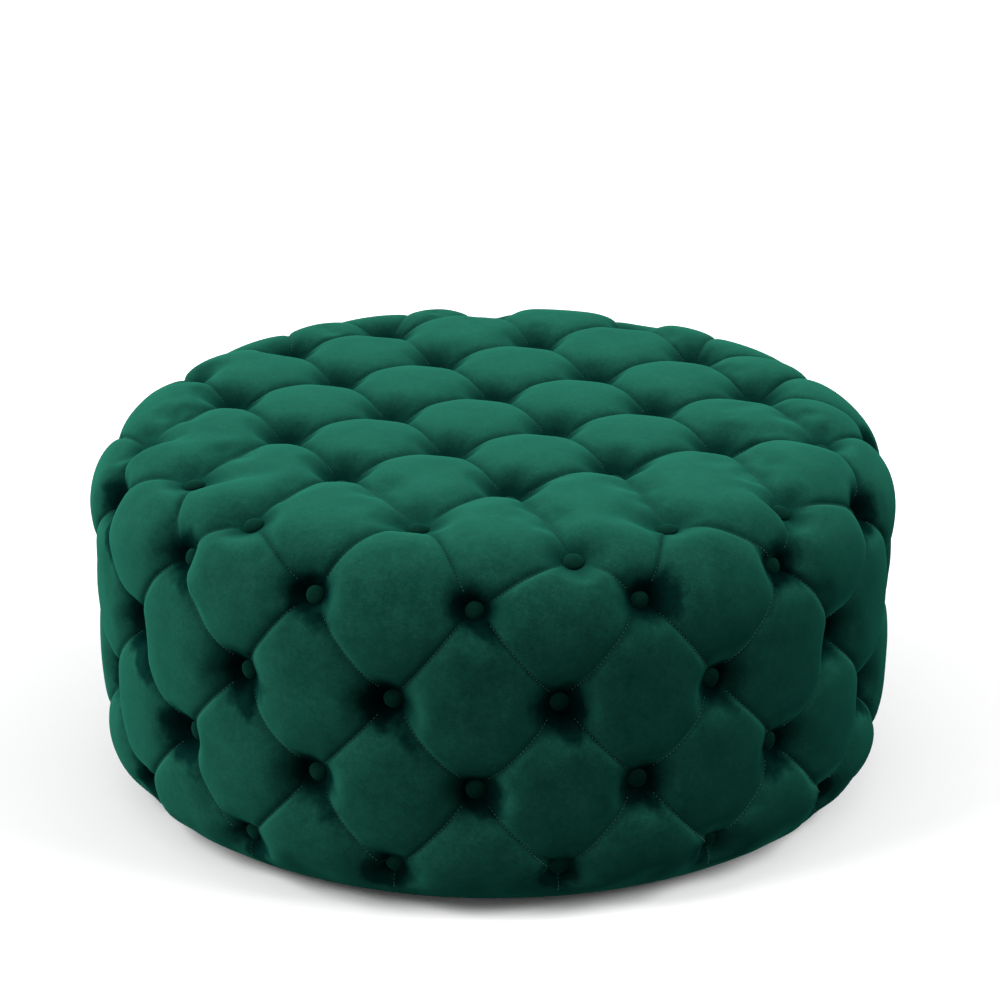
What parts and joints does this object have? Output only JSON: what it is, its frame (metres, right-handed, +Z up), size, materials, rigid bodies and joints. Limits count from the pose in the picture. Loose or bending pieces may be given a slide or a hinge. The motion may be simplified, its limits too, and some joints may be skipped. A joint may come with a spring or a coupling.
{
  "type": "round tufted ottoman",
  "caption": "Low round ottoman with a fixed padded seat, deep diamond button tufting over top and side, velvet cover and short floor glides.",
  "frame": {"origin": "on the floor under the centre of the ottoman, in the plane of the glides' feet", "axes": "+Z up, -Y towards the front; the ottoman is round about +Z"},
  "size_m": [0.9149, 0.915, 0.42],
  "materials": {
    "velvet": "matte",
    "button_velvet": "matte",
    "batting": "matte",
    "foam": "matte",
    "plywood": "matte",
    "softwood": "matte",
    "hardboard": "matte",
    "zinc_steel": "satin",
    "twine": "matte",
    "tack_card": "matte",
    "cambric": "matte",
    "glide_plastic": "satin"
  },
  "bodies": {
    "root": {"base_rail_cross": "softwood", "base_rail_long": "softwood", "base_ring": "plywood", "base_screws": "zinc_steel", "button_shanks": "zinc_steel", "centre_post": "softwood", "cover_staples": "zinc_steel", "deck_board": "plywood", "deck_foam": "foam", "deck_rail_cross": "softwood", "deck_rail_long": "softwood", "deck_screws": "zinc_steel", "dust_cover": "cambric", "dust_cover_staples": "zinc_steel", "glide_nails": "zinc_steel", "glides": "glide_plastic", "panel_staples": "zinc_steel", "post_1": "softwood", "post_2": "softwood", "post_3": "softwood", "post_4": "softwood", "post_5": "softwood", "post_6": "softwood", "rail_screws": "zinc_steel", "rim_button_twine": "twine", "rim_buttons": "button_velvet", "rim_tie_staples": "zinc_steel", "side_batting": "batting", "side_button_twine": "twine", "side_buttons_row_2": "button_velvet", "side_buttons_row_3": "button_velvet", "side_buttons_row_4": "button_velvet", "side_buttons_row_5": "button_velvet", "side_foam": "foam", "side_panel_front": "hardboard", "side_panel_rear": "hardboard", "side_tie_washers": "zinc_steel", "tack_strip": "tack_card", "top_batting": "batting", "top_button_twine": "twine", "top_buttons": "button_velvet", "top_ring": "plywood", "top_ring_screws": "zinc_steel", "top_tie_washers": "zinc_steel", "velvet_cover": "velvet"}
  },
  "joints": []
}
